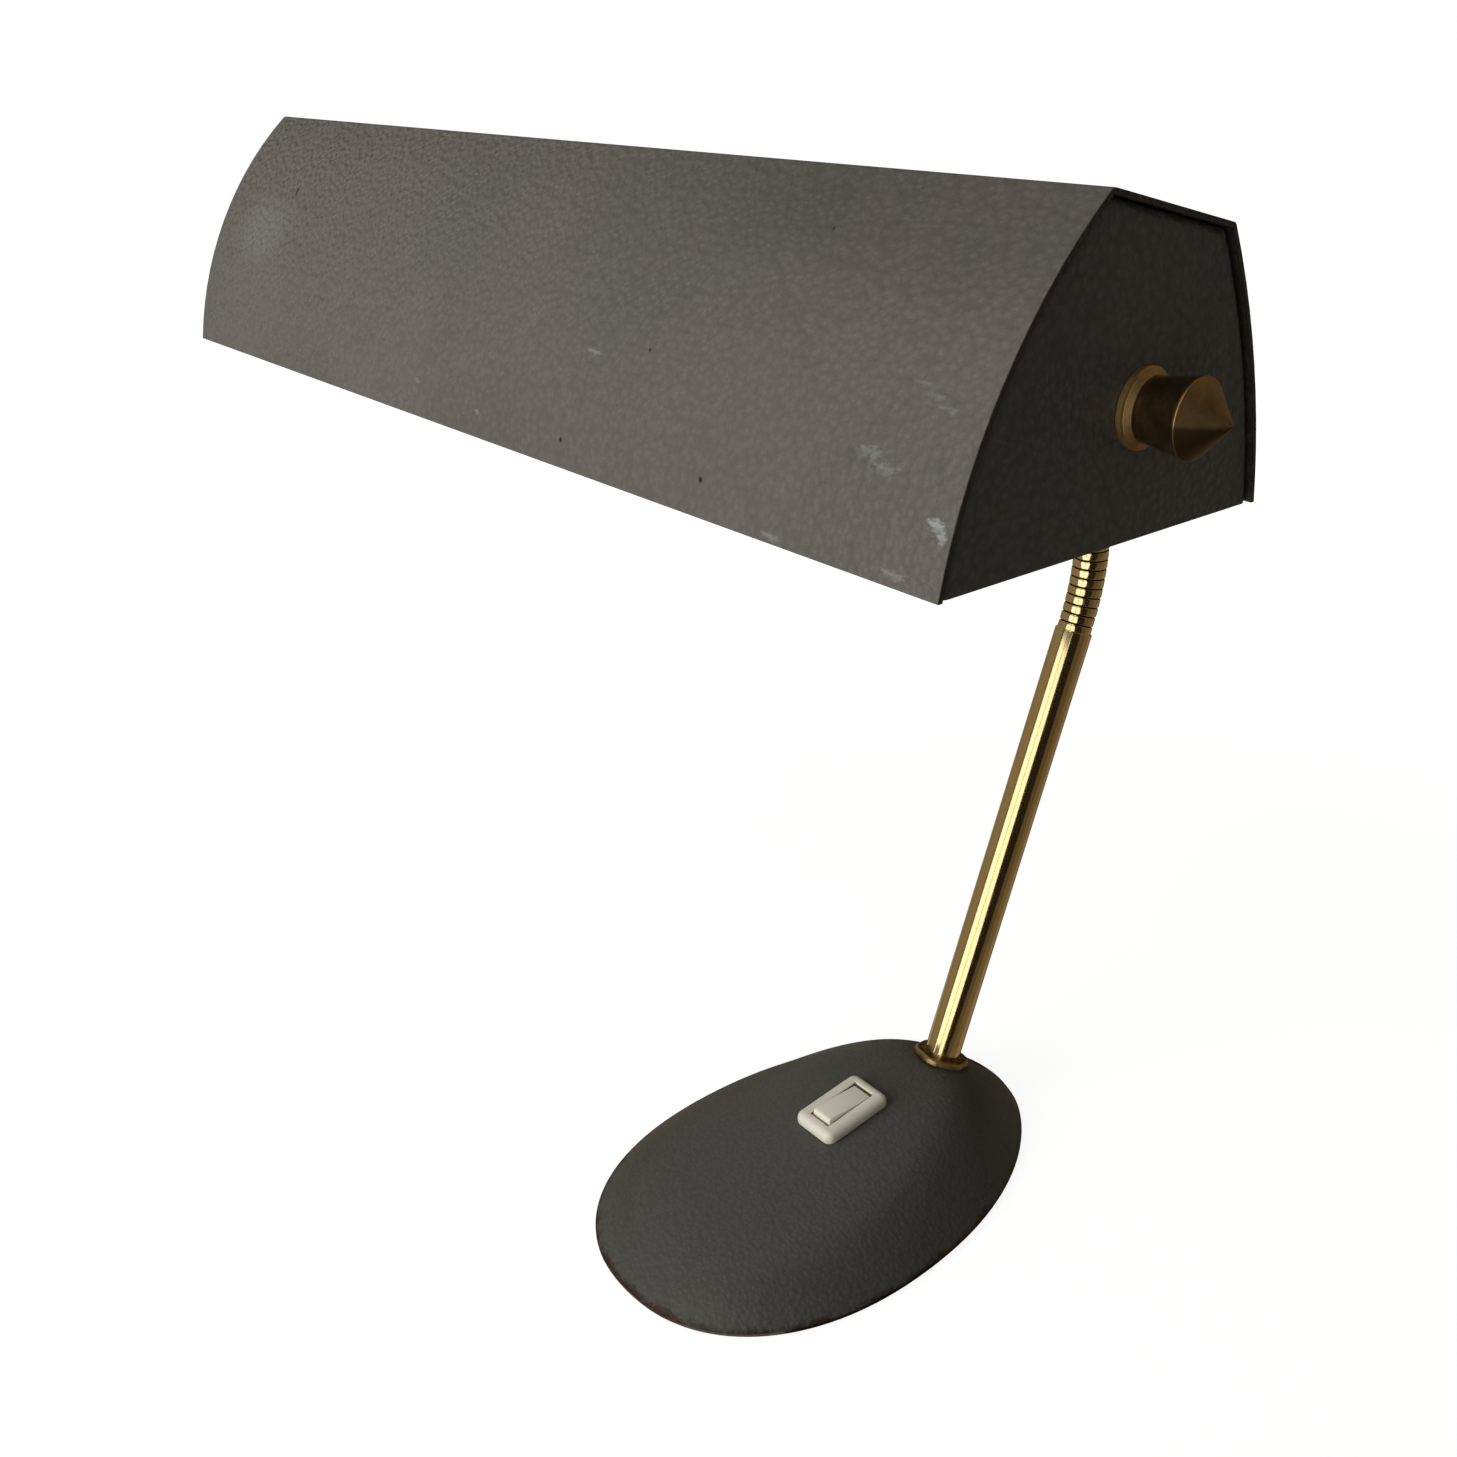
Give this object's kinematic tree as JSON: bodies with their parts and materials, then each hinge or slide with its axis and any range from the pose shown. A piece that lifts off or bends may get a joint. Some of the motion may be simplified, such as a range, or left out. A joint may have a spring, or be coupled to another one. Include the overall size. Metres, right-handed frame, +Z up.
{
  "type": "desk lamp",
  "caption": "Desk lamp with a long bent-sheet trough shade that tilts between side knobs, a brass gooseneck on a leaning tube and a heavy egg-shaped base with a rocker switch.",
  "frame": {"origin": "on the table, at the underside of the felt pad, under the middle of the base", "axes": "+Z up, -Y towards the user, where the shade's front is, +X along the shade to its right end seen from the user"},
  "size_m": [0.335, 0.2549, 0.3548],
  "materials": {
    "hammer_paint": "hammer-finish warm grey paint",
    "cast_iron": "rough casting",
    "plated_steel": "dull zinc plating",
    "white_enamel": "white enamel",
    "felt": "green felt",
    "rubber": "matt",
    "ivory_plastic": "aged ivory moulding",
    "black_plastic": "phenolic moulding",
    "polished_brass": "polished and lacquered",
    "dull_brass": "dark patina",
    "red_fibre": "vulcanised fibre",
    "bulb_glass": "frosted",
    "lead_sleeve": "braided sleeve"
  },
  "bodies": {
    "base": {"base_shell": "hammer_paint", "base_weight": "cast_iron", "base_plate": "plated_steel", "base_plate_screws": "plated_steel", "felt_pad": "felt", "cord_grommet": "rubber", "switch_bezel": "ivory_plastic", "switch_body": "black_plastic", "switch_terminals": "dull_brass", "riser_tube": "polished_brass", "riser_nipple": "polished_brass", "foot_washer": "dull_brass", "lock_washer": "plated_steel", "riser_nut": "plated_steel"},
    "rocker": {"switch_rocker": "ivory_plastic"},
    "gooseneck": {"gooseneck_lower": "polished_brass"},
    "head": {"gooseneck_upper": "polished_brass", "gooseneck_ferrule": "polished_brass", "head_washer": "plated_steel", "head_nut": "plated_steel", "lamp_bracket": "white_enamel", "holder_screws": "plated_steel", "left_pivot_stud": "plated_steel", "right_pivot_stud": "plated_steel", "left_friction_washer": "red_fibre", "right_friction_washer": "red_fibre", "left_lampholder": "black_plastic", "right_lampholder": "black_plastic", "left_bulb_cap": "dull_brass", "right_bulb_cap": "dull_brass", "left_bulb_glass": "bulb_glass", "right_bulb_glass": "bulb_glass", "left_holder_lead": "lead_sleeve", "right_holder_lead": "lead_sleeve"},
    "shade": {"shade_sheet": "hammer_paint", "left_end_panel": "hammer_paint", "right_end_panel": "hammer_paint", "left_knob_collar": "dull_brass", "right_knob_collar": "dull_brass"},
    "knob_left": {"left_knob": "dull_brass"},
    "knob_right": {"right_knob": "dull_brass"}
  },
  "joints": [
    {"name": "gooseneck_bend", "type": "hinge", "parent": "base", "child": "gooseneck", "pos_m": [0, 0.12064, 0.22518], "axis": [1, 0, 0], "range_deg": [-25, 25], "deforming": ["gooseneck_lower"]},
    {"name": "gooseneck_pan", "type": "hinge", "parent": "gooseneck", "child": "head", "pos_m": [0, 0.05027, 0.30765], "axis": [0, 0, 1], "range_deg": [-30, 30], "deforming": ["gooseneck_upper"]},
    {"name": "shade_tilt", "type": "hinge", "parent": "head", "child": "shade", "pos_m": [0, -0.0772, 0.3182], "axis": [1, 0, 0], "range_deg": [-15, 15]},
    {"name": "rocker_press", "type": "hinge", "parent": "base", "child": "rocker", "pos_m": [0, 0.00864, 0.02379], "axis": [1, 0, 0], "range_deg": [0, 16]},
    {"name": "right_knob_turn", "type": "hinge", "parent": "head", "child": "knob_right", "pos_m": [0.155, -0.0772, 0.3182], "axis": [1, 0, 0], "range_deg": [0, 180]},
    {"name": "left_knob_turn", "type": "hinge", "parent": "head", "child": "knob_left", "pos_m": [-0.155, -0.0772, 0.3182], "axis": [1, 0, 0], "range_deg": [-180, 0]}
  ]
}
